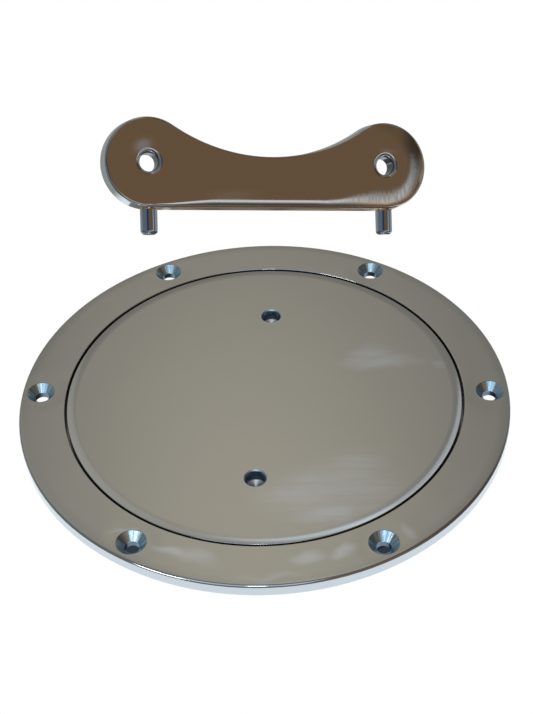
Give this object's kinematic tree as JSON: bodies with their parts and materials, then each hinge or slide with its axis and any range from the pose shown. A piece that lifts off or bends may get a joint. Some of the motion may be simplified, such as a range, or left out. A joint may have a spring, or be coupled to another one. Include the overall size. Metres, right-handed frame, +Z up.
{
  "type": "deck hatch",
  "caption": "Round screw-in deck hatch with a flanged ring, a flush threaded lid on an O-ring, and a loose pin key with pegs for the holes in the lid.",
  "frame": {"origin": "centre of the flange's underside, where the hatch's axis meets the deck's surface", "axes": "+Z up out of the deck along the hatch's axis; +X from the centre through one deck screw hole"},
  "size_m": [0.188, 0.188, 0.1203],
  "materials": {
    "polished_metal": "mirror polished, with faint buffing marks",
    "key_metal": "mirror polished, soft edges",
    "seal_rubber": "matt"
  },
  "bodies": {
    "ring": {"deck_ring": "polished_metal"},
    "seal": {"lid_o_ring": "seal_rubber"},
    "lid": {"lid": "polished_metal"},
    "key": {"key": "key_metal"}
  },
  "joints": [
    {"name": "lid_rise", "type": "slide", "parent": "ring", "child": "seal", "axis": [0, 0, 1], "range_m": [0, 0.018]},
    {"name": "lid_turn", "type": "hinge", "parent": "seal", "child": "lid", "pos_m": [0, 0, 0], "axis": [0, 0, 1], "range_deg": [0, 1080]},
    {"name": "key_lift", "type": "slide", "parent": "ring", "child": "key", "axis": [0, 0, 1], "range_m": [0, 0.06]}
  ],
  "couplings": [
    {"joint": "lid_rise", "follows": "lid_turn", "m_per_rad": 0.0009549}
  ]
}
